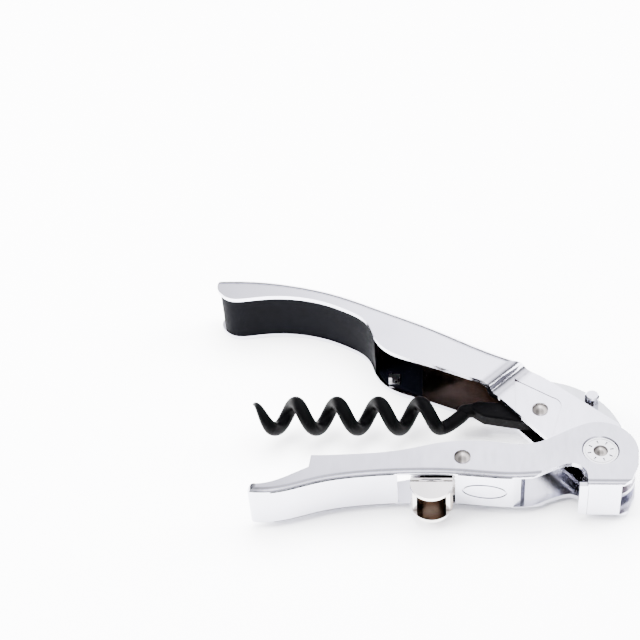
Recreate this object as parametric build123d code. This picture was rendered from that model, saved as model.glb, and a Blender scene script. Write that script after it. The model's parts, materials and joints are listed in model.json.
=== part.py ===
from build123d import *
import os
from math import cos, sin, radians, pi

# A double-step lever corkscrew lying on its side, +Z up, in millimetres.
# Plan outlines are drawn about the lever axle, with the middle plane of the tool at Z = 0.
# The whole tool is moved at the end, so that the middle of its footprint is the origin.

# ---- driving dimensions -------------------------------------------------
grip_length = 72.7        # from the step between grip and fork to the end of the tail
grip_width = 15.0         # over both side walls of the grip
grip_wall = 1.1           # side walls of the grip
spine_wall = 1.8          # back of the grip
spine_round = 3.5         # rounding of the outer back edges
liner_thick = 0.35        # black liner on the channel's walls
insert_recess = 0.3       # the black moulding lies this far inside the walls' edges
fork_width = 6.8          # over the two narrow plates of the handle
fork_wall = 1.2           # thickness of those plates
ramp_length = 5.6         # length of the step from grip width to fork width
pad_depth = 0.15          # pressed pad round the worm rivet

lever_length = 82.6       # from the axle to the tip of the lever
lever_width = 12.6        # over both side plates of the lever
sheet = 1.2               # lever sheet thickness
fold_round = 1.3          # outer radius of the lever's folded edges
crease_width = 0.28       # groove between a side plate and the web
crease_depth = 0.4
tip_corner = 2.2          # rounding of the two corners at the lever's tip
oval_length = 10.6        # oval line pressed into the inner panel
oval_width = 5.0
oval_depth = 0.22
head_radius = 8.75        # round of the lever's head
window_length = 13.6      # opening for the thumb catch
lip_length = 9.6          # length of the cap lifting lip along the lever

axle_radius = 2.5
disc_radius = 4.05
disc_bore = 1.25
disc_recess = 0.9         # depth of the round seat for the disc
disc_sink = 0.32          # the disc lies this far below the plate's face
disc_bevel = 0.3          # bevel round the seat
rivet_radius = 1.45
rivet_head_radius = 1.95
rivet_head_side = 0.3     # straight side of a rivet head, below its dome
rivet_head_height = 0.6

worm_wire = 3.5           # wire diameter
worm_outer = 9.9          # outer diameter of the turns
worm_pitch = 10.3
worm_turns = 4.45         # turns before the wire bends towards the tang
eye_radius = 3.3

blade_thick = 1.0
blade_back_radius = 20.5
stud_radius = 1.75
stud_height = 3.8
stud_flutes = 18          # fine flutes round the stud, for grip

catch_sheet = 0.9
catch_ear_radius = 5.0
spring_wire = 0.6
spring_turns = 4

running = 0.05            # clearance of a turning fit, on the radius or beside a face
seat = 0.02               # clearance of a piece that is fixed in its place
side_play = 0.3           # clearance beside pieces that swing past each other

# ---- places that follow from them ---------------------------------------
grip_half = grip_width / 2
fork_half = fork_width / 2
fork_gap = fork_half - fork_wall
lever_half = lever_width / 2
lever_gap = lever_half - sheet
axle = (0.0, 0.0)
worm_pivot = (-13.2, 15.6)
catch_pivot = (-32.3, -2.2)
step_x = -23.2            # the grip's outline stretches from here to the tail
step_y = 19.9
web_x = -20.3             # the lever's outline stretches from here to its tip
usual_grip = 72.7         # the grip's outline points are drawn for this length
usual_lever = 82.6        # and the lever's outline points for this one
far_out = 40              # well beyond any piece, for the ends of cutting blocks
ramp_angle = -44.0        # direction in which the step runs down, in plan
ramp_start = -35.2        # distance of its upper end from the axle along that direction


def tail(x, y):
    """A point of the grip, drawn for a grip of the usual length."""
    return (step_x + (x - step_x) * grip_length / usual_grip, y)


def reach(x, y):
    """A point of the lever, drawn for a lever of the usual length."""
    return (web_x + (x - web_x) * (lever_length + web_x) / (usual_lever + web_x), y)


def slab(outline, low, high):
    """The plan outline as a plate between two heights."""
    return extrude(Pos(0, 0, low) * make_face(outline), high - low)


def rod(centre, radius, low, high):
    return Pos(centre[0], centre[1], (low + high) / 2) * Cylinder(radius, high - low)


def block(x0, x1, y0, y1, z0, z1):
    return Pos((x0 + x1) / 2, (y0 + y1) / 2, (z0 + z1) / 2) * Box(x1 - x0, y1 - y0, z1 - z0)


def ring(centre, outer, inner, low, high):
    return rod(centre, outer, low, high) - rod(centre, inner, low - 1, high + 1)


def mirrored(shape):
    """The piece on the other side of the middle plane."""
    return mirror(shape, about=Plane.XY)


def domed(centre, radius, height, base):
    """A rivet head: a low dome that stands on the given height."""
    sphere_radius = (radius ** 2 + height ** 2) / (2 * height)
    ball = Pos(centre[0], centre[1], base + height - sphere_radius) * Sphere(sphere_radius)
    return ball & rod(centre, radius, base, base + height + 0.01)


# ---- handle --------------------------------------------------------------
grip_inner_edge = [
    tail(-95.2, 53.4), tail(-92.2, 51.3), tail(-86.5, 51.6), tail(-78.5, 52.1), tail(-68.5, 50.1),
    tail(-61.0, 46.4), tail(-56.2, 42.2), tail(-54.2, 37.0), tail(-51.4, 32.7), tail(-41.5, 27.7),
    tail(-31.0, 23.0), (step_x, step_y),
]
grip_outer_edge = [
    (-10.7, 25.3), (-14.8, 28.2), (-21.3, 31.4), tail(-38.0, 41.1), tail(-52.5, 48.8),
    tail(-63.6, 54.3), tail(-74.9, 58.0), tail(-86.2, 60.0), tail(-92.8, 60.3),
]
fork_low_end = (-4.2, -3.3)
fork_shoulder = (5.3, 10.9)
fork_end_radius = 8.1


def handle_outline():
    """Closed plan outline of the whole handle."""
    inner = Spline(*grip_inner_edge)
    low = Line(inner @ 1, fork_low_end)
    nose_end = (fork_end_radius * cos(radians(30)), fork_end_radius * sin(radians(30)))
    nose = ThreePointArc(
        fork_low_end,
        (fork_end_radius * cos(radians(-50)), fork_end_radius * sin(radians(-50))),
        nose_end,
    )
    shoulder = Line(nose_end, fork_shoulder)
    back = Line(fork_shoulder, grip_outer_edge[0])
    outer = Spline(*grip_outer_edge)
    end = ThreePointArc(outer @ 1, tail(-96.1, 57.7), inner @ 0)
    return Wire([inner, low, nose, shoulder, back, outer, end])


def spine_inner_edge(offset_by):
    return [(x - offset_by * 0.45, y - offset_by) for x, y in grip_outer_edge[1:]]


def cavity_outline():
    """Plan outline of the channel, open on the inner side and at the tail."""
    edge = spine_inner_edge(spine_wall)
    far = edge[-1]
    outer = Spline(*edge)
    rest = Polyline(far, (far[0] - 12, far[1]), (far[0] - 12, 0), (edge[0][0], 0), edge[0])
    return Wire([outer] + list(rest.edges()))


def step_limiter(wide, narrow, shift):
    """Everything within the handle's half thickness along its length, with a smooth step."""
    start = ramp_start + shift
    end = start + ramp_length
    middle = (start + end) / 2
    bend = 0.42 * ramp_length
    ramp = Bezier((start, wide), (start + bend, wide), (middle, (wide + narrow) / 2))
    foot = Bezier((middle, (wide + narrow) / 2), (end - bend, narrow), (end, narrow))
    top = [Line((-150, wide), (start, wide)), ramp, foot, Line((end, narrow), (80, narrow))]
    closing = Polyline((80, narrow), (80, 0), (-150, 0), (-150, wide))
    half = make_face(Wire(top + list(closing.edges())))
    plane = Plane(origin=(0, 0, 0), x_dir=(cos(radians(ramp_angle)), sin(radians(ramp_angle)), 0),
                  z_dir=(sin(radians(ramp_angle)), -cos(radians(ramp_angle)), 0))
    upper = extrude(plane * half, 120, both=True)
    return upper + mirrored(upper)


def rounded_back():
    """A block behind whose back edges are rounded; it gives the spine its full rounding."""
    outer = Spline(*grip_outer_edge)
    lead = Line(outer @ 0 - (outer % 0) * 30, outer @ 0)
    trail = Line(outer @ 1, outer @ 1 + (outer % 1) * 15)
    inside = Polyline(trail @ 1, (-140, -60), (60, -60), lead @ 0)
    blank = slab(Wire([lead, outer, trail] + list(inside.edges())), -grip_half, grip_half)
    back = []
    for e in blank.edges():
        height = e.center().Z
        if abs(abs(height) - grip_half) > 0.01:
            continue
        for line in (lead, outer, trail):
            middle = line @ 0.5
            if e.distance_to(Vector(middle.X, middle.Y, height)) < 0.01:
                back.append(e)
    return fillet(back, spine_round)


def handle_shell():
    envelope = slab(handle_outline(), -grip_half, grip_half)
    envelope = envelope & rounded_back()
    envelope = envelope & step_limiter(grip_half, fork_half, 0)
    cavity = slab(cavity_outline(), -(grip_half - grip_wall), grip_half - grip_wall)
    cavity = cavity & step_limiter(grip_half - grip_wall, fork_gap, -0.8)
    slot_start = spine_inner_edge(spine_wall)[0][0]
    fork_slot = block(slot_start - 0.1, 20, -20, 40, -fork_gap, fork_gap)
    shell = envelope - cavity - fork_slot
    shell -= rod(axle, axle_radius + running, -far_out, far_out)
    shell -= rod(worm_pivot, rivet_radius + seat, -far_out, far_out)
    for side in (1, -1):
        shell -= pad_recess(side)
    return shell


def pad_recess(side):
    """Shallow pressed pad round the worm rivet, on the outer face of a fork plate."""
    corner = ThreePointArc((-9.9, 19.5), (-8.4, 18.3), (-8.0, 16.3))
    rest = Polyline((-8.0, 16.3), (-10.6, 7.0), (-19.2, 15.4), (-19.0, 25.6), (-9.9, 19.5))
    line = Wire([corner] + list(rest.edges()))
    low = side * (fork_half - pad_depth)
    high = side * (fork_half + 1)
    return slab(line, min(low, high), max(low, high))


def grip_insert():
    """Black moulding that fills the tail and lines the end of the worm's channel."""
    gap = grip_half - grip_wall - seat
    face = Spline(*[(x, y + insert_recess) for x, y in grip_inner_edge[:8]])
    edge = spine_inner_edge(spine_wall + side_play)
    back = Spline(*edge[3:])
    rise = Line(face @ 1, back @ 0)
    end = ThreePointArc(back @ 1, tail(-95.3, 55.4), face @ 0)
    body = slab(Wire([face, rise, back, end]), -gap, gap)
    return body


def cheek(side):
    """Thin black liner on a side wall of the channel, beside the stowed worm."""
    low = side * (grip_half - grip_wall - seat - liner_thick)
    high = side * (grip_half - grip_wall - seat)
    edge = Polyline(tail(-53.3, 37.2), tail(-51.1, 33.5), tail(-42.0, 28.6), tail(-42.0, 39.2),
                    tail(-51.4, 44.0), tail(-53.3, 37.2))
    return slab(edge, min(low, high), max(low, high))


def worm_rest_clip():
    """Small sprung bracket in the channel that the stowed worm's tip snaps past."""
    floor_z = -(grip_half - grip_wall - seat - liner_thick - seat)
    x, y = tail(-49.3, 34.6)
    foot = block(x - 1.4, x + 1.4, y - 1.7, y + 1.7, floor_z, floor_z + 0.4)
    prong = block(x - 1.4, x - 0.6, y - 0.9, y + 0.9, floor_z, floor_z + 1.5)
    return foot + prong - rod((x + 0.5, y - 1.0), 0.4, floor_z - 1, floor_z + 2)


def rivet(centre, half_grip):
    """A rivet with a domed head on both faces, half_grip from the middle plane."""
    pin = rod(centre, rivet_radius, -half_grip - 0.2, half_grip + 0.2)
    head = rod(centre, rivet_head_radius, half_grip, half_grip + rivet_head_side)
    head += domed(centre, rivet_head_radius, rivet_head_height, half_grip + rivet_head_side)
    return pin + head + mirrored(head)


# ---- worm ----------------------------------------------------------------
worm_axis_y = 16.4
worm_tip_x = -84.0
wire_radius = worm_wire / 2
coil_radius = worm_outer / 2 - wire_radius
tip_turns = 0.45          # turns over which the point tapers
point_radius = 0.25
tang_entry = (-28.0, 18.3, 0)
stem_points = [(-36.4, 14.2, -1.7), (-33.9, 15.8, -1.2), (-31.6, 17.8, -0.45)]
tip_phase = 30.0          # degrees past the crest at which the point sits


def helix_point(turn):
    """Centre line of the worm, counted in turns from its point."""
    angle = radians(tip_phase) + 2 * pi * turn
    radius = coil_radius * min(1.0, 0.93 + 0.07 * turn / tip_turns)
    return Vector(worm_tip_x + worm_pitch * turn, worm_axis_y + radius * cos(angle), radius * sin(angle))


def coil_edge(start, turns):
    """Centre line of whole turns, from a given turn onwards."""
    helix = Edge.make_helix(worm_pitch, worm_pitch * turns, coil_radius)
    first = radians(tip_phase) + 2 * pi * start
    frame = Plane(
        origin=(worm_tip_x + worm_pitch * start, worm_axis_y, 0),
        x_dir=(0, cos(first), sin(first)),
        z_dir=(1, 0, 0),
    )
    return frame.location * helix


def worm():
    """Coated wire worm with its point, its turns, its flattened tang and the eye."""
    turns = coil_edge(tip_turns, worm_turns - tip_turns)
    coil = sweep(Plane(turns @ 0, z_dir=turns % 0) * Circle(wire_radius), path=turns, is_frenet=True)
    steps = 7
    point = []
    for i in range(steps + 1):
        turn = tip_turns * i / steps
        radius = point_radius + (wire_radius - seat - point_radius) * (i / steps) ** 0.8
        along = helix_point(turn + 0.01) - helix_point(turn - 0.01)
        facing = Plane(helix_point(turn), x_dir=Vector(1, 0, 0).cross(along), z_dir=along)
        point.append(facing * Circle(radius))
    tip = loft(point)
    finish = turns @ 1
    bend = Spline(finish, *stem_points, tang_entry, tangents=[turns % 1, (1, 0.08, 0)])
    stem = sweep(Plane(finish, z_dir=bend % 0) * Circle(wire_radius - seat), path=bend)
    return coil + tip + stem + tang()


def tang():
    """Flattened end of the worm: a shoulder at the wire, and an eye for the rivet."""
    x, y = worm_pivot
    plan = make_hull(
        (Pos(x, y) * Circle(eye_radius)).edges()
        + (Pos(-28.2, 18.2) * Circle(1.65)).edges()
        + (Pos(-26.4, 16.0) * Circle(1.1)).edges()
    )
    plate = extrude(Pos(0, 0, -wire_radius) * plan, worm_wire)
    rims = [e for e in plate.edges() if abs(abs(e.center().Z) - wire_radius) < 0.01]
    plate = fillet(rims, 0.5)
    return plate - rod(worm_pivot, rivet_radius + running, -far_out, far_out)


# ---- foil blade ----------------------------------------------------------
blade_centre = (-13.6, 7.3)
blade_tip = (-13.9, 26.3)
heel_radius = 12.1        # the heel stays outside the path of the cap lifting lip


def blade():
    """Crescent blade on the lever axle, with a scalloped cutting edge inside."""
    cx, cy = blade_centre
    right = (cx + blade_back_radius * cos(radians(14)), cy + blade_back_radius * sin(radians(14)))
    top = (cx + blade_back_radius * cos(radians(93)), cy + blade_back_radius * sin(radians(93)))
    mid = (cx + blade_back_radius * cos(radians(52)), cy + blade_back_radius * sin(radians(52)))
    back = ThreePointArc(right, mid, top)
    point = Line(top, blade_tip)
    cutting = ThreePointArc(blade_tip, (-4.9, 17.9), (-1.5, 10.4))
    neck_left = Line((-1.5, 10.4), (-1.9, 3.6))
    eye = ThreePointArc((-1.9, 3.6), (0.6, -4.1), (3.9, 1.2))
    neck_right = Line((3.9, 1.2), (3.2, heel_radius * 0.965))
    heel = Line((3.2, heel_radius * 0.965), right)
    plate = slab(Wire([back, point, cutting, neck_left, eye, neck_right, heel]),
                 -blade_thick / 2, blade_thick / 2)
    plate -= rod(axle, axle_radius + running, -far_out, far_out)
    for i in range(12):
        scallop = cutting @ ((i + 1.2) / 14)
        plate -= rod((scallop.X - 0.2, scallop.Y - 0.2), 0.55, -2, 2)
    return plate


def stud():
    """Round thumb stud on the blade's upper face."""
    base = blade_thick / 2
    body = rod((-0.4, 19.5), stud_radius, base + 0.001, base + stud_height)
    rim = [e for e in body.edges() if abs(e.center().Z - base - stud_height) < 0.01]
    body = chamfer(rim, 0.35)
    for i in range(stud_flutes):
        angle = 2 * pi * i / stud_flutes
        flute = (-0.4 + stud_radius * cos(angle), 19.5 + stud_radius * sin(angle))
        body -= rod(flute, 0.16, base + 1.6, base + stud_height - 0.5)
    return body


# ---- lever ---------------------------------------------------------------
lip_y = -10.0
lip_end = 4.2
throat = (-6.9, -4.0)
window_x = -47.6
window_end = window_x + window_length
neck_x = -14.0            # the web's curve ends here and the open neck begins
neck_end = -3.45          # the open neck ends at the lip
lever_tip_x = reach(-usual_lever, 0)[0]
web_points = [
    reach(-81.0, -12.6), reach(-75.4, -12.3), reach(-66.0, -9.4), reach(-57.0, -7.7),
    (-45.0, -6.8), (-33.0, -7.0), (web_x, -8.0), (-16.8, -7.8),
]


def lever_web_curve():
    """The lever's folded long edge, from its tip to the neck."""
    return Spline(*web_points)


def lever_outline():
    """Closed plan outline of a side plate: parrot's head, neck, rest and tip."""
    low = lever_web_curve()
    neck = Spline(low @ 1, (-12.6, -6.0), (-9.0, -4.5), throat, tangents=[low % 1, (1, 0.1, 0)])
    beak_in = Spline(throat, (-4.4, -5.2), (-3.5, -8.0))
    beak = Polyline(beak_in @ 1, (-3.5, lip_y), (4.6, lip_y), (6.4, -9.0), (8.3, -4.7))
    face_end = (head_radius * cos(radians(-4)), head_radius * sin(radians(-4)))
    chin = Line((8.3, -4.7), face_end)
    crown_end = (head_radius * cos(radians(113)), head_radius * sin(radians(113)))
    crown_top = (head_radius * cos(radians(55)), head_radius * sin(radians(55)))
    crown = ThreePointArc(face_end, crown_top, crown_end)
    nape = Spline(
        crown_end, (-8.1, 5.7), (-12.7, 3.1), (-17.0, 1.8),
        tangents=[(-1, -0.42, 0), (-1, -0.12, 0)],
    )
    ridge = Spline(
        nape @ 1, (-24.0, 2.4), (-31.5, 2.95), (-39.5, 1.8), reach(-46.0, 0.1), reach(-56.0, -1.2),
        reach(-68.0, -1.7), tangents=[(-1, -0.1, 0), (-1, 0, 0)],
    )
    rest = Line(ridge @ 1, reach(-68.4, -5.3))
    tip_top = Spline(rest @ 1, reach(-72.5, -7.6), reach(-77.5, -9.9), reach(-80.6, -10.4))
    tip_end = ThreePointArc(tip_top @ 1, reach(-82.4, -11.8), low @ 0)
    head = [low, neck, beak_in] + list(beak.edges()) + [chin, crown]
    return Wire(head + [nape, ridge, rest, tip_top, tip_end])


def lever_inside():
    """Plan outline of the channel inside the folded sheet, open on the other side."""
    lifted = [(x, y + sheet) for x, y in web_points]
    floor_line = Spline(*lifted)
    tip_x = lever_tip_x + sheet
    end = Polyline(
        lifted[-1], (-12.0, -20), (-3.3, -20), (-3.3, lip_y + sheet), (30, lip_y + sheet), (30, 20),
        (tip_x, 20), (tip_x, lifted[0][1] + 0.5), lifted[0],
    )
    return Wire([floor_line] + list(end.edges()))


def rounded_long_edges(shape, probe):
    """Round the upper and lower edges of a slab that pass through the given plan points."""
    edges = []
    for e in shape.edges():
        height = e.center().Z
        if abs(abs(height) - lever_half) > 0.01:
            continue
        if any(e.distance_to(Vector(p.X, p.Y, height)) < 0.01 for p in probe):
            edges.append(e)
    return fillet(edges, fold_round)


def folded_panels():
    """A slab that ends at the web, with the rounding of the sheet's folds."""
    low = lever_web_curve()
    lead = Line(low @ 0 - (low % 0) * 20, low @ 0)
    trail = Line(low @ 1, low @ 1 + (low % 1) * 20)
    inside = Polyline(trail @ 1, (40, 40), (-130, 40), lead @ 0)
    blank = slab(Wire([lead, low, trail] + list(inside.edges())), -lever_half, lever_half)
    return rounded_long_edges(blank, [lead @ 0.5, low @ 0.5, trail @ 0.5])


def folded_lip():
    """A slab that ends at the lifting lip, with the rounding of the sheet's folds."""
    blank = block(-40, 40, lip_y, 40, -lever_half, lever_half)
    return rounded_long_edges(blank, [Vector(0, lip_y, 0)])


def web_skin(depth):
    """Plan outline of the outermost layer of the web, as deep as given."""
    low = lever_web_curve()
    high = low.moved(Location((0, depth, 0)))
    return Wire([low, Line(low @ 1, high @ 1), high, Line(high @ 0, low @ 0)])


def web_marks():
    """Creases beside the two panels, and an oval line pressed into the inner panel."""
    layer = slab(web_skin(crease_depth), -lever_half, lever_half)
    height = lever_half - fold_round + 0.2
    marks = []
    for start, end in ((lever_tip_x + 5.6, window_x - 0.6), (window_end + 0.6, web_x - 0.5)):
        for side in (1, -1):
            low, high = sorted((side * height, side * (height + crease_width)))
            marks.append(layer & block(start, end, -20, 0, low, high))
    shallow = slab(web_skin(oval_depth), -lever_half, lever_half)
    plane = Plane(origin=((window_end + web_x) / 2, -far_out, 0), x_dir=(1, 0, 0), z_dir=(0, 1, 0))
    oval = Ellipse(oval_length / 2, oval_width / 2) - Ellipse(oval_length / 2 - 0.45, oval_width / 2 - 0.45)
    marks.append(shallow & extrude(plane * oval, far_out))
    return marks


def neck_flange():
    """Inward bend at the end of the inner panel, beside the open neck."""
    start = (web_x - 0.4, -7.98)
    edge = Polyline(start, (web_x + 1.6, -7.1), (web_x + 2.7, -5.6), (web_x + 2.0, -5.2),
                    (web_x + 1.0, -6.5), (web_x - 0.4, -7.1), start)
    return slab(edge, -lever_gap - 0.1, lever_gap + 0.1)


def tip_limiter():
    """A long block whose corners at the lever's tip are rounded."""
    blank = block(lever_tip_x, far_out, -far_out, far_out, -lever_half, lever_half)
    corners = [e for e in blank.edges().filter_by(Axis.Y) if e.center().X < lever_tip_x + 0.1]
    return fillet(corners, tip_corner)


def lever_channel():
    """The lever: one folded sheet with two side plates, three web panels and the lifting lip."""
    plate = slab(lever_outline(), -lever_half, lever_half) & tip_limiter()
    panels = plate & block(-150, neck_x, -30, 30, -10, 10) & folded_panels()
    head = plate & block(neck_x, 30, -30, 30, -10, 10) & folded_lip()
    plate = panels + head
    channel = plate - slab(lever_inside(), -lever_gap, lever_gap)
    channel -= block(window_x, window_end, -far_out, catch_pivot[1], -lever_gap, lever_gap)
    channel -= block(web_x, neck_end, lip_y + 0.5, catch_pivot[1], -lever_gap, lever_gap)
    channel -= block(lip_end, far_out, -far_out, far_out, -lever_gap, lever_gap)
    channel += block(lip_end - lip_length, neck_end + 0.05, lip_y, lip_y + sheet, -lever_gap, lever_gap)
    channel += neck_flange()
    for mark in web_marks():
        channel -= mark
    seat_radius = disc_radius + seat
    bevel = Cone(seat_radius, seat_radius + disc_bevel, disc_bevel)
    bevel = Pos(0, 0, lever_half - disc_bevel / 2) * bevel
    channel -= bevel + mirrored(bevel)
    for side in (1, -1):
        low, high = sorted((side * (lever_half - disc_recess), side * (lever_half + 1)))
        channel -= rod(axle, seat_radius, low, high)
    channel -= rod(axle, axle_radius + seat, -far_out, far_out)
    channel -= rod(catch_pivot, rivet_radius + seat, -far_out, far_out)
    for i in range(9):
        tooth = window_x + 1.0 + 0.55 * i
        channel -= Pos(tooth, -7.3, -lever_half + 0.4) * Rot(0, 0, 45) * Box(0.3, 0.3, 2)
    return channel


# ---- lever axle ----------------------------------------------------------
def pivot_axle():
    """Shaft through all the plates, with the domed ends that hold the discs."""
    shaft_half = lever_half - disc_recess
    shaft = rod(axle, axle_radius, -shaft_half, shaft_half)
    face = lever_half - disc_sink + seat
    end = rod(axle, disc_bore, shaft_half - 0.1, face + 0.1) + domed(axle, 1.7, 0.6, face)
    return shaft + end + mirrored(end)


def pivot_disc():
    """Round cap let into the head plate, with eight small marks round its edge."""
    face = lever_half - disc_sink
    cap = ring(axle, disc_radius, disc_bore + seat, lever_half - disc_recess + seat, face)
    cap -= ring(axle, disc_radius - 0.35, disc_radius - 0.55, face - 0.08, face + 1)
    for i in range(8):
        cap -= Rot(0, 0, 45 * i + 12) * Pos(2.7, 0, face) * Box(0.9, 0.36, 0.5)
    return cap


def axle_spacer():
    """Ring between a fork plate and the lever's side plate."""
    return ring(axle, 4.4, axle_radius + seat, fork_half + running, lever_gap - seat)


def blade_washer():
    """Ring between the blade and a fork plate."""
    return ring(axle, 3.9, axle_radius + running, blade_thick / 2 + running, fork_gap - running)


def worm_washer():
    """Ring between the worm's eye and a fork plate."""
    return ring(worm_pivot, 2.9, rivet_radius + seat, wire_radius + running, fork_gap - seat)


# ---- thumb catch ---------------------------------------------------------
catch_half = lever_gap - 0.7
ear_centre = (-39.6, -8.3)
catch_eye = 2.5


def catch_side():
    """Plan outline of one side of the catch: ear, neck, eye and the nose of the first rest."""
    ex, ey = ear_centre
    px, py = catch_pivot
    right = (ex + catch_ear_radius, ey)
    left = (ex - catch_ear_radius, ey)
    ear = ThreePointArc(right, (ex, ey - catch_ear_radius), left)
    rise = Spline(left, (ex - 3.9, ey + 3.4), (px - 7.2, py + 1.0), (px - 5.4, py + 3.0))
    top = Line(rise @ 1, (px - 0.6, py + catch_eye))
    eye = ThreePointArc(top @ 1, (px + catch_eye, py - 0.2), (px + 0.3, py - catch_eye))
    back = Polyline(eye @ 1, (ex + catch_ear_radius, ey + 2.6), right)
    return Wire([ear, rise, top, eye] + list(back.edges()))


def thumb_catch():
    """Folded catch: two round ears joined by a wall, turning on the lever's rivet."""
    plate = slab(catch_side(), catch_half - catch_sheet, catch_half)
    ex, ey = ear_centre
    crease = Plane.YZ * make_face(
        Polyline((ey + 0.1, catch_half), (ey + 0.9, catch_half - 0.3), (ey + 1.2, catch_half),
                 (ey + 1.2, catch_half + 1), (ey + 0.1, catch_half + 1), (ey + 0.1, catch_half))
    )
    plate -= Pos(ex - 7, 0, 0) * extrude(crease, 14)
    hollow = (ex, ey - 3.0)
    wall_radius = catch_ear_radius - 0.5
    wall = ring(hollow, wall_radius, wall_radius - catch_sheet, -catch_half + 0.1, catch_half - 0.1)
    wall &= block(ex - 10, ex + 10, ey - 2.0, ey + 5, -catch_half, catch_half)
    whole = plate + mirrored(plate) + wall
    return whole - rod(catch_pivot, rivet_radius + running, -far_out, far_out)


def catch_collar():
    """Ring between the catch's eye and the lever's side plate."""
    return ring(catch_pivot, 2.3, rivet_radius + seat, catch_half + running, lever_gap - seat)


def catch_spring():
    """Wound spring round the rivet that pushes the catch's ears out."""
    height = spring_turns * (spring_wire + 0.15)
    radius = rivet_radius + spring_wire
    path = Pos(catch_pivot[0], catch_pivot[1], -height / 2) * Helix(spring_wire + 0.15, height, radius)
    edge = path.edges()[0]
    return sweep(Plane(edge @ 0, z_dir=edge % 0) * Circle(spring_wire / 2), path=edge, is_frenet=True)


# ---- assembly ------------------------------------------------------------
pieces = {
    "handle_shell": handle_shell(),
    "grip_insert": grip_insert(),
    "channel_liner": Compound([cheek(1).solid(), cheek(-1).solid()]),
    "worm_rest_clip": worm_rest_clip(),
    "worm_rivet": rivet(worm_pivot, fork_half - pad_depth),
    "worm_washer_upper": worm_washer(),
    "worm_washer_lower": mirrored(worm_washer()),
    "worm": worm(),
    "foil_blade": blade(),
    "blade_stud": stud(),
    "blade_washer_upper": blade_washer(),
    "blade_washer_lower": mirrored(blade_washer()),
    "lever_channel": lever_channel(),
    "pivot_axle": pivot_axle(),
    "pivot_disc_upper": pivot_disc(),
    "pivot_disc_lower": mirrored(pivot_disc()),
    "axle_spacer_upper": axle_spacer(),
    "axle_spacer_lower": mirrored(axle_spacer()),
    "lever_rivet": rivet(catch_pivot, lever_half),
    "thumb_catch": thumb_catch(),
    "catch_collar_upper": catch_collar(),
    "catch_collar_lower": mirrored(catch_collar()),
    "catch_spring": catch_spring(),
}

boxes = [piece.bounding_box() for piece in pieces.values()]
low_corner = [min(b.min.X for b in boxes), min(b.min.Y for b in boxes), min(b.min.Z for b in boxes)]
high_corner = [max(b.max.X for b in boxes), max(b.max.Y for b in boxes)]
footprint = Pos(
    -(low_corner[0] + high_corner[0]) / 2, -(low_corner[1] + high_corner[1]) / 2, -low_corner[2]
)

if __name__ == "__main__":
    os.makedirs("parts", exist_ok=True)
    for name, piece in pieces.items():
        export_step(footprint * piece, f"parts/{name}.step")
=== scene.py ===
import bpy
import json
from math import radians
from mathutils import Euler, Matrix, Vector


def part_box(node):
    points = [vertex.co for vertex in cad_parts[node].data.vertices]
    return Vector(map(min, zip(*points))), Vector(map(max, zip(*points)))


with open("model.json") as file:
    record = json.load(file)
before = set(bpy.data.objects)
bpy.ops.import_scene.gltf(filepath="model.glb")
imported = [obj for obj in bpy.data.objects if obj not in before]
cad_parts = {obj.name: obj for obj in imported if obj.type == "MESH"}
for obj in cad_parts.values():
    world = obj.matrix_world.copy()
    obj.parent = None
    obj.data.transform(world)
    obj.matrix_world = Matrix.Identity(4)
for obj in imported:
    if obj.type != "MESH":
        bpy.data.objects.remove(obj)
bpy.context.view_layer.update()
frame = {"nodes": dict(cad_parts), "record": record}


# ---- materials -----------------------------------------------------------
# Painted shade inside hollows: the colours the hollows are darkened to.
BROWN_PAINTED_SHADE = (0.085, 0.052, 0.034)        # the handle and the catch
GREY_PAINTED_SHADE = (0.22, 0.22, 0.24)            # the lever and the discs
RIVET_PAINTED_SHADE = (0.05, 0.04, 0.035)
HOLLOW_SAMPLES = 8
SHUT_IN = 0.25                       # openness at which a surface takes the whole shade
IN_THE_OPEN = 0.85                   # openness at which it keeps its whole colour

# Heights of relief, in metres.
METAL_WAVE = 0.00003
SCRATCH_DEPTH = 0.000003
BLACK_WAVE = 0.00004                 # the grip's and the worm's black surface
FLOOR_GRAIN = 0.0002


def new_material(name, color, metallic, roughness, specular=0.5):
    """A principled material with its constant values on the shader."""
    material = bpy.data.materials.new(name)
    material.use_nodes = True
    shader = material.node_tree.nodes["Principled BSDF"]
    shader.inputs["Base Color"].default_value = (*color, 1.0)
    shader.inputs["Metallic"].default_value = metallic
    shader.inputs["Roughness"].default_value = roughness
    shader.inputs["Specular IOR Level"].default_value = specular
    return material, material.node_tree, shader


def noise(tree, scale, detail, roughness=0.55, stretch=(1, 1, 1)):
    """Noise in the object's own coordinates, stretched along the axes."""
    place = tree.nodes.new("ShaderNodeTexCoord")
    mapping = tree.nodes.new("ShaderNodeMapping")
    mapping.inputs["Scale"].default_value = stretch
    texture = tree.nodes.new("ShaderNodeTexNoise")
    texture.inputs["Scale"].default_value = scale
    texture.inputs["Detail"].default_value = detail
    texture.inputs["Roughness"].default_value = roughness
    tree.links.new(place.outputs["Object"], mapping.inputs["Vector"])
    tree.links.new(mapping.outputs["Vector"], texture.inputs["Vector"])
    return texture.outputs["Fac"]


def spread(tree, value, low, high, start=0.3, end=0.7):
    """The value remapped to run from low to high."""
    node = tree.nodes.new("ShaderNodeMapRange")
    node.inputs["From Min"].default_value = start
    node.inputs["From Max"].default_value = end
    node.inputs["To Min"].default_value = low
    node.inputs["To Max"].default_value = high
    tree.links.new(value, node.inputs["Value"])
    return node.outputs["Result"]


def tint(tree, value, first, second):
    """A colour that runs between two colours with the value."""
    ramp = tree.nodes.new("ShaderNodeValToRGB")
    ramp.color_ramp.elements[0].position = 0.3
    ramp.color_ramp.elements[0].color = (*first, 1.0)
    ramp.color_ramp.elements[1].position = 0.7
    ramp.color_ramp.elements[1].color = (*second, 1.0)
    tree.links.new(value, ramp.inputs["Fac"])
    return ramp.outputs["Color"]


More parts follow.
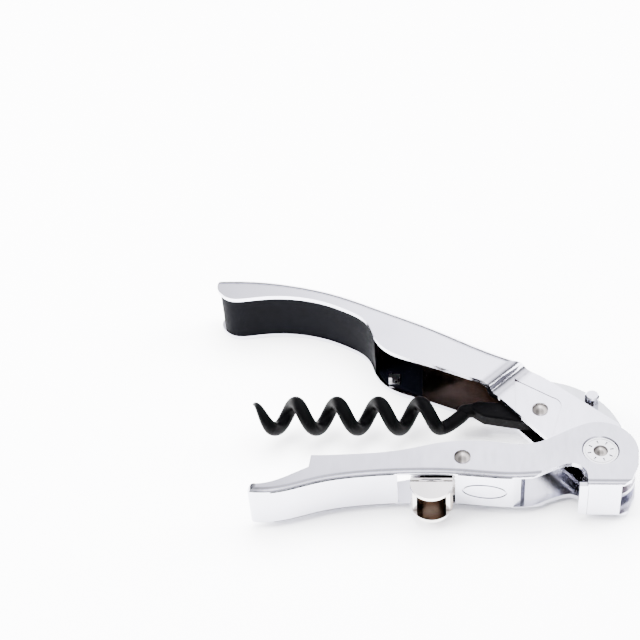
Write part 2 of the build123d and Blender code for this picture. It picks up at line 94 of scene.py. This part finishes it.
def bump(tree, shader, height, distance, strength, before=None):
    """Relief on the shader, laid over an earlier relief where one is given."""
    node = tree.nodes.new("ShaderNodeBump")
    node.inputs["Distance"].default_value = distance
    node.inputs["Strength"].default_value = strength
    tree.links.new(height, node.inputs["Height"])
    if before is not None:
        tree.links.new(before, node.inputs["Normal"])
    tree.links.new(node.outputs["Normal"], shader.inputs["Normal"])
    return node.outputs["Normal"]


def painted_hollow_shade(tree, color, reach, shade):
    """The colour with painted shade: darkened where the piece's own walls shut the surface in, within the
    reach.
    """
    near = tree.nodes.new("ShaderNodeAmbientOcclusion")
    near.inputs["Distance"].default_value = reach
    near.samples = HOLLOW_SAMPLES
    near.only_local = True
    open_share = spread(tree, near.outputs["AO"], 0.0, 1.0, SHUT_IN, IN_THE_OPEN)
    mix = tree.nodes.new("ShaderNodeMix")
    mix.data_type = "RGBA"
    mix.inputs["A"].default_value = (*shade, 1.0)
    tree.links.new(open_share, mix.inputs["Factor"])
    tree.links.new(color, mix.inputs["B"])
    return mix.outputs["Result"]


def chrome(name, dark, light, smooth, rough, grain=0.0, reach=0.0, shade=RIVET_PAINTED_SHADE):
    """Plated metal: slight random changes of colour, painted shade in its hollows where a reach is given,
    uneven polish, fine waviness and scratches.
    """
    material, tree, shader = new_material(name, light, 1.0, smooth)
    tone_and_painted_shade = tint(tree, noise(tree, 60.0, 3.0), dark, light)
    # Painted shade: the colour darkened in the piece's own hollows.
    if reach:
        tone_and_painted_shade = painted_hollow_shade(tree, tone_and_painted_shade, reach, shade)
    tree.links.new(tone_and_painted_shade, shader.inputs["Base Color"])
    polish = noise(tree, 900.0, 6.0, 0.6, (1, 0.25, 1))
    tree.links.new(spread(tree, polish, smooth, rough), shader.inputs["Roughness"])
    wave = bump(tree, shader, noise(tree, 110.0, 1.0), METAL_WAVE, 0.4)
    scratches = noise(tree, 2600.0, 4.0, 0.7, (1.0, 0.06, 1.0))
    bump(tree, shader, scratches, SCRATCH_DEPTH + grain, 0.6, wave)
    return material


def plastic(name, color, low, high, grain, specular):
    """Moulded or coated black surface with a fine grain and slight sheen changes."""
    material, tree, shader = new_material(name, color, 0.0, low, specular)
    lighter = tuple(c * 1.6 + 0.0001 for c in color)
    tree.links.new(tint(tree, noise(tree, 300.0, 5.0), color, lighter), shader.inputs["Base Color"])
    tree.links.new(spread(tree, noise(tree, 700.0, 5.0), low, high), shader.inputs["Roughness"])
    wave = bump(tree, shader, noise(tree, 90.0, 2.0), BLACK_WAVE, 0.5)
    bump(tree, shader, noise(tree, 5200.0, 3.0), grain, 0.6, wave)
    return material


# A reach and a shade give a material painted shade in its hollows.
materials = {
    "polished_chrome": chrome(
        "polished_chrome", (0.68, 0.68, 0.76), (0.78, 0.78, 0.86), 0.10, 0.17,
        reach=0.022, shade=BROWN_PAINTED_SHADE),
    "disc_chrome": chrome(
        "disc_chrome", (0.74, 0.74, 0.76), (0.84, 0.84, 0.86), 0.08, 0.15,
        reach=0.0015, shade=GREY_PAINTED_SHADE),
    "rivet_nickel": chrome(
        "rivet_nickel", (0.46, 0.42, 0.39), (0.62, 0.58, 0.54), 0.08, 0.16, reach=0.002),
    "catch_nickel": chrome(
        "catch_nickel", (0.58, 0.56, 0.54), (0.72, 0.70, 0.68), 0.04, 0.10,
        reach=0.010, shade=BROWN_PAINTED_SHADE),
    "blade_steel": chrome(
        "blade_steel", (0.50, 0.51, 0.54), (0.62, 0.63, 0.67), 0.14, 0.26, grain=0.000004),
    "spring_steel": chrome(
        "spring_steel", (0.80, 0.80, 0.81), (0.92, 0.92, 0.93), 0.25, 0.4),
    # The spacers are made dark to show the shade in the gaps between the plates: painted shade on a real
    # part.
    "spacer_steel": chrome(
        "spacer_steel", (0.08, 0.08, 0.09), (0.16, 0.16, 0.17), 0.25, 0.4),
    "black_grip": plastic(
        "black_grip", (0.0006, 0.0007, 0.0014), 0.42, 0.55, 0.000008, 0.02),
    "worm_coating": plastic(
        "worm_coating", (0.0004, 0.0004, 0.0005), 0.40, 0.52, 0.000010, 0.03),
}
# The lever's plate is darker and rougher than the handle's, in the same material slot, and gets grey
# painted shade in its hollows.
lever_chrome = chrome(
    "lever_chrome", (0.53, 0.53, 0.59), (0.63, 0.63, 0.70), 0.16, 0.26,
    grain=0.000003, reach=0.005, shade=GREY_PAINTED_SHADE)
slots = {row["node"]: row["material_slot"] for row in frame["record"]["subparts"]}
for node, thing in frame["nodes"].items():
    thing.data.materials.clear()
    finish = lever_chrome if node == "lever_channel" else materials[slots[node]]
    thing.data.materials.append(finish)


# ---- stage: floor, lights, world, camera ---------------------------------
WORLD_GAIN = 6.4
LIGHT_GAIN = 6.5
FLOOR_HALF = 3.0
FLOOR_LEVEL = -0.0001     # just under the tool

# Brightness of the studio, as (direction, level) pairs: by its Z, and then by its X.
RISE = (
    (-1.0, 0.3), (-0.1, 0.2), (0.15, 0.12), (0.35, 0.2), (0.52, 0.7),
    (0.65, 1.0), (0.80, 1.0), (0.92, 0.45), (1.0, 0.3),
)
ACROSS = (
    (-1.0, 0.10), (-0.45, 0.14), (-0.17, 0.27), (-0.11, 0.45), (-0.05, 0.70),
    (0.03, 0.84), (0.07, 1.0), (0.11, 0.76), (0.4, 0.50), (1.0, 0.35),
)

# The camera, in metres: X and Y from the middle of the lever axle, height from zero.
CAMERA_FROM_AXLE = (-0.03627, -0.23256)
CAMERA_HEIGHT = 0.28252
CAMERA_TURN = (45.931, 3.581, 3.161)    # degrees about X, Y and Z
CAMERA_LENS = 84.07                     # millimetres


def floor():
    """A plain white surface just under the tool."""
    mesh = bpy.data.meshes.new("floor")
    half = FLOOR_HALF
    corners = ((-half, -half), (half, -half), (half, half), (-half, half))
    mesh.from_pydata([(x, y, FLOOR_LEVEL) for x, y in corners], [], [(0, 1, 2, 3)])
    thing = bpy.data.objects.new("floor", mesh)
    bpy.context.scene.collection.objects.link(thing)
    material, tree, shader = new_material("floor_white", (0.97, 0.97, 0.98), 0.0, 0.7, 0.2)
    bump(tree, shader, noise(tree, 60.0, 4.0), FLOOR_GRAIN, 0.1)
    mesh.materials.append(material)


def area_light(name, place, size, energy):
    """A soft square light aimed at the tool, which shows in no reflection."""
    data = bpy.data.lights.new(name, "AREA")
    data.size = size
    data.energy = energy * LIGHT_GAIN
    thing = bpy.data.objects.new(name, data)
    thing.location = place
    aim = -Vector(place)
    thing.rotation_euler = aim.to_track_quat("-Z", "Y").to_euler()
    thing.visible_glossy = False
    bpy.context.scene.collection.objects.link(thing)


def curve(tree, value, points):
    """A smooth curve through (value, level) points, for values from -1 to 1."""
    shifted = spread(tree, value, 0.0, 1.0, -1.0, 1.0)
    ramp = tree.nodes.new("ShaderNodeValToRGB")
    ramp.color_ramp.interpolation = "EASE"
    stops = ramp.color_ramp.elements
    for i, (position, level) in enumerate(points):
        stop = stops[i] if i < 2 else stops.new((position + 1) / 2)
        stop.position = (position + 1) / 2
        stop.color = (level, level, level, 1.0)
    tree.links.new(shifted, ramp.inputs["Fac"])
    return ramp.outputs["Color"]


def studio_world():
    """Soft room light, brightest about half way up and darker at the horizon, overhead and to the sides."""
    world = bpy.data.worlds.new("studio")
    bpy.context.scene.world = world
    world.use_nodes = True
    tree = world.node_tree
    background = tree.nodes["Background"]
    place = tree.nodes.new("ShaderNodeTexCoord")
    parts = tree.nodes.new("ShaderNodeSeparateXYZ")
    tree.links.new(place.outputs["Generated"], parts.inputs["Vector"])
    rise = curve(tree, parts.outputs["Z"], RISE)
    across = curve(tree, parts.outputs["X"], ACROSS)
    both = tree.nodes.new("ShaderNodeMath")
    both.operation = "MULTIPLY"
    tree.links.new(rise, both.inputs[0])
    tree.links.new(across, both.inputs[1])
    tone = tree.nodes.new("ShaderNodeMath")
    tone.operation = "MULTIPLY"
    tone.inputs[1].default_value = WORLD_GAIN
    tree.links.new(both.outputs[0], tone.inputs[0])
    background.inputs["Color"].default_value = (0.95, 0.94, 1.0, 1.0)
    tree.links.new(tone.outputs[0], background.inputs["Strength"])


def lights():
    """Three soft lights, and the studio round them."""
    area_light("top_soft", (0.0, 0.25, 0.75), 0.8, 9.0)
    area_light("left_soft", (-0.6, -0.1, 0.45), 0.45, 5.0)
    area_light("right_soft", (0.6, 0.2, 0.4), 0.35, 3.0)
    studio_world()


def camera():
    """A long lens that looks down on the tool, placed from the lever axle."""
    data = bpy.data.cameras.new("camera")
    data.sensor_width = 36.0
    data.lens = CAMERA_LENS
    data.clip_start = 0.01
    data.clip_end = 20.0
    data.dof.use_dof = False
    thing = bpy.data.objects.new("camera", data)
    low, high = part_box("pivot_axle")
    axle_x = (low[0] + high[0]) / 2
    axle_y = (low[1] + high[1]) / 2
    across, back = CAMERA_FROM_AXLE
    thing.location = (axle_x + across, axle_y + back, CAMERA_HEIGHT)
    thing.rotation_euler = Euler([radians(turn) for turn in CAMERA_TURN], "XYZ")
    bpy.context.scene.collection.objects.link(thing)
    bpy.context.scene.camera = thing


floor()
lights()
camera()
